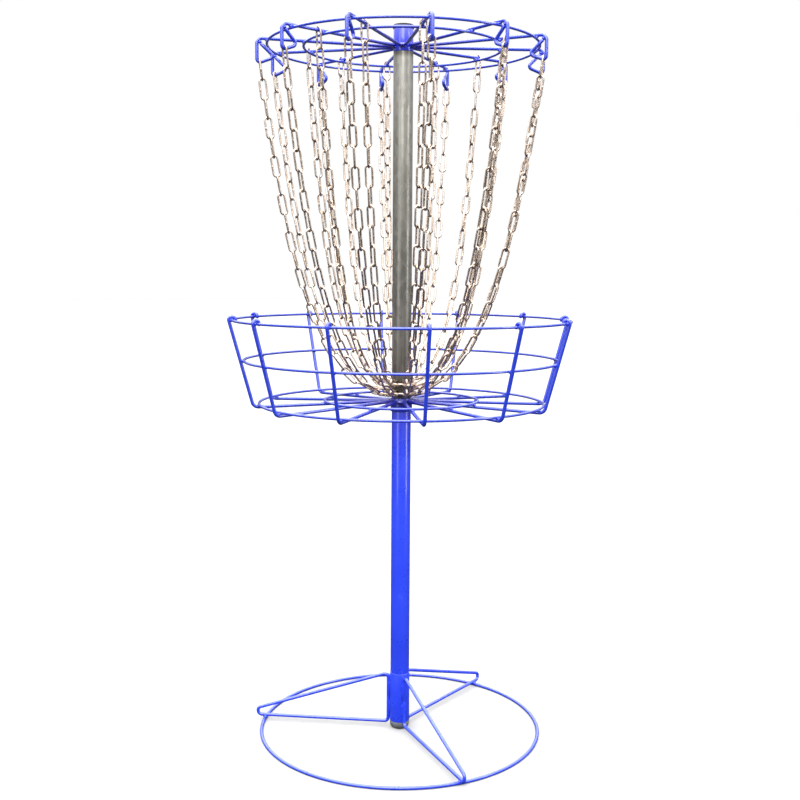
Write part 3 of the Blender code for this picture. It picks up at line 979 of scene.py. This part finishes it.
def make_crown(blue, shaded_blue, black, zinc, galvanised):
    """The top hub with its cap, spokes and rings, and the two rings that gather the chains."""
    make_ring("top_outer_ring", OUTER_RING_RADIUS, TOP_RING_HEIGHT, RING_WIRE, shaded_blue, 0.70)
    inner_height = spoke_height(INNER_RING_RADIUS) - WELD
    make_ring("top_inner_ring", INNER_RING_RADIUS, inner_height, RING_WIRE, shaded_blue, 0.22)
    route, welds = hairpin(POLE_RADIUS, spoke_leg()), Shell()
    hub_height = spoke_height(HAIRPIN_START)
    spokes = make_hairpins("top_spoke_pair", route, 0.0, shaded_blue, welds, POLE_RADIUS, hub_height)
    for spoke, seed in spokes:
        for radius in (OUTER_RING_RADIUS, INNER_RING_RADIUS):
            spot = radial(radius, spoke_height(radius) - (HEAVY_WIRE + GAP) / 2, spoke)
            welds.nugget(spot, Vector((0, 0, 1)), CROWN_NUGGET, seed + radius)
        loop_end = radial(LOOP_OUTSIDE - LOOP_WELD_INSET, SPOKE_HEIGHT - LOOP_WELD_DROP, spoke)
        welds.nugget(loop_end, radial(0.8, 0.6, spoke), LOOP_NUGGET, seed + 0.5)
    make_piece("top_welds", welds, shaded_blue, [], "chain_support")
    make_pole("top_hub", blue)
    make_joiner("top_joiner", galvanised)
    make_top_cap(black)
    gathers = {"lower_gather_ring": LOWER_GATHER_HEIGHT, "upper_gather_ring": UPPER_GATHER_HEIGHT}
    for node, height in gathers.items():
        make_ring(node, GATHER_RADIUS, height, RING_WIRE, zinc, 0.35, 0.14)


def make_top_cap(black):
    """An end cap: a plug in the bore, a lip over the tube's end, and a shallow domed face."""
    low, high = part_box("top_cap")
    rim, top = high.x + 0.0007, high.z
    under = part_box("top_hub")[1].z + GAP
    lip_drop, edge = 0.0042, 0.0003
    lip, inside = under - lip_drop, POLE_RADIUS + GAP
    profile = [
        (JOINER_RADIUS - 0.002, low.z),
        (JOINER_RADIUS - 0.0006, low.z + 0.0008),
        (JOINER_RADIUS, low.z + 0.004),
        (JOINER_RADIUS, under),
        (inside, under),
        (inside, lip),
        (rim - edge, lip),
        (rim, lip + edge),
    ]
    curve, crown = 0.0011, 0.0003
    profile += [
        (rim - curve + curve * math.cos(a), top - curve - crown + curve * math.sin(a))
        for a in (math.radians(15 * k) for k in range(7))
    ]
    profile += [(rim * share, top - crown * share) for share in (0.84, 0.80)]
    profile += [(rim * 0.78, top - 0.0008), (rim * 0.74, top - 0.0009), (rim * 0.72, top - 0.0004)]
    profile += [(rim * share, top - crown * share * share) for share in (0.6, 0.45, 0.3, 0.15)]
    shell = Shell()
    shell.plug(profile)
    make_piece("top_cap_moulding", shell, black, ["top_cap"], sharp=50)


def main():
    make_camera()
    make_studio()
    blue = (make_blue_coat("blue_powder_coat", *BLUE), "blue_coat")
    # The darker copy of the blue coat is painted shade on the wires, welds and basket hub collar
    shaded_blue = (make_blue_coat("blue_powder_coat_shaded", *SHADED_BLUE), "blue_coat")
    galvanised = (make_galvanised(), "galvanised")
    zinc = (make_chain_zinc(), "zinc_chain")
    grey = (make_plastic("grey_plastic", *GREY, 0.5), "grey_plastic")
    black = (make_plastic("black_plastic", *BLACK, 0.7), "black_plastic")
    make_base(blue, grey)
    make_basket(blue, shaded_blue, galvanised)
    make_pole("upper_pole", galvanised)
    make_joiner("upper_joiner", galvanised)
    make_crown(blue, shaded_blue, black, zinc, galvanised)
    make_chains(zinc)


main()
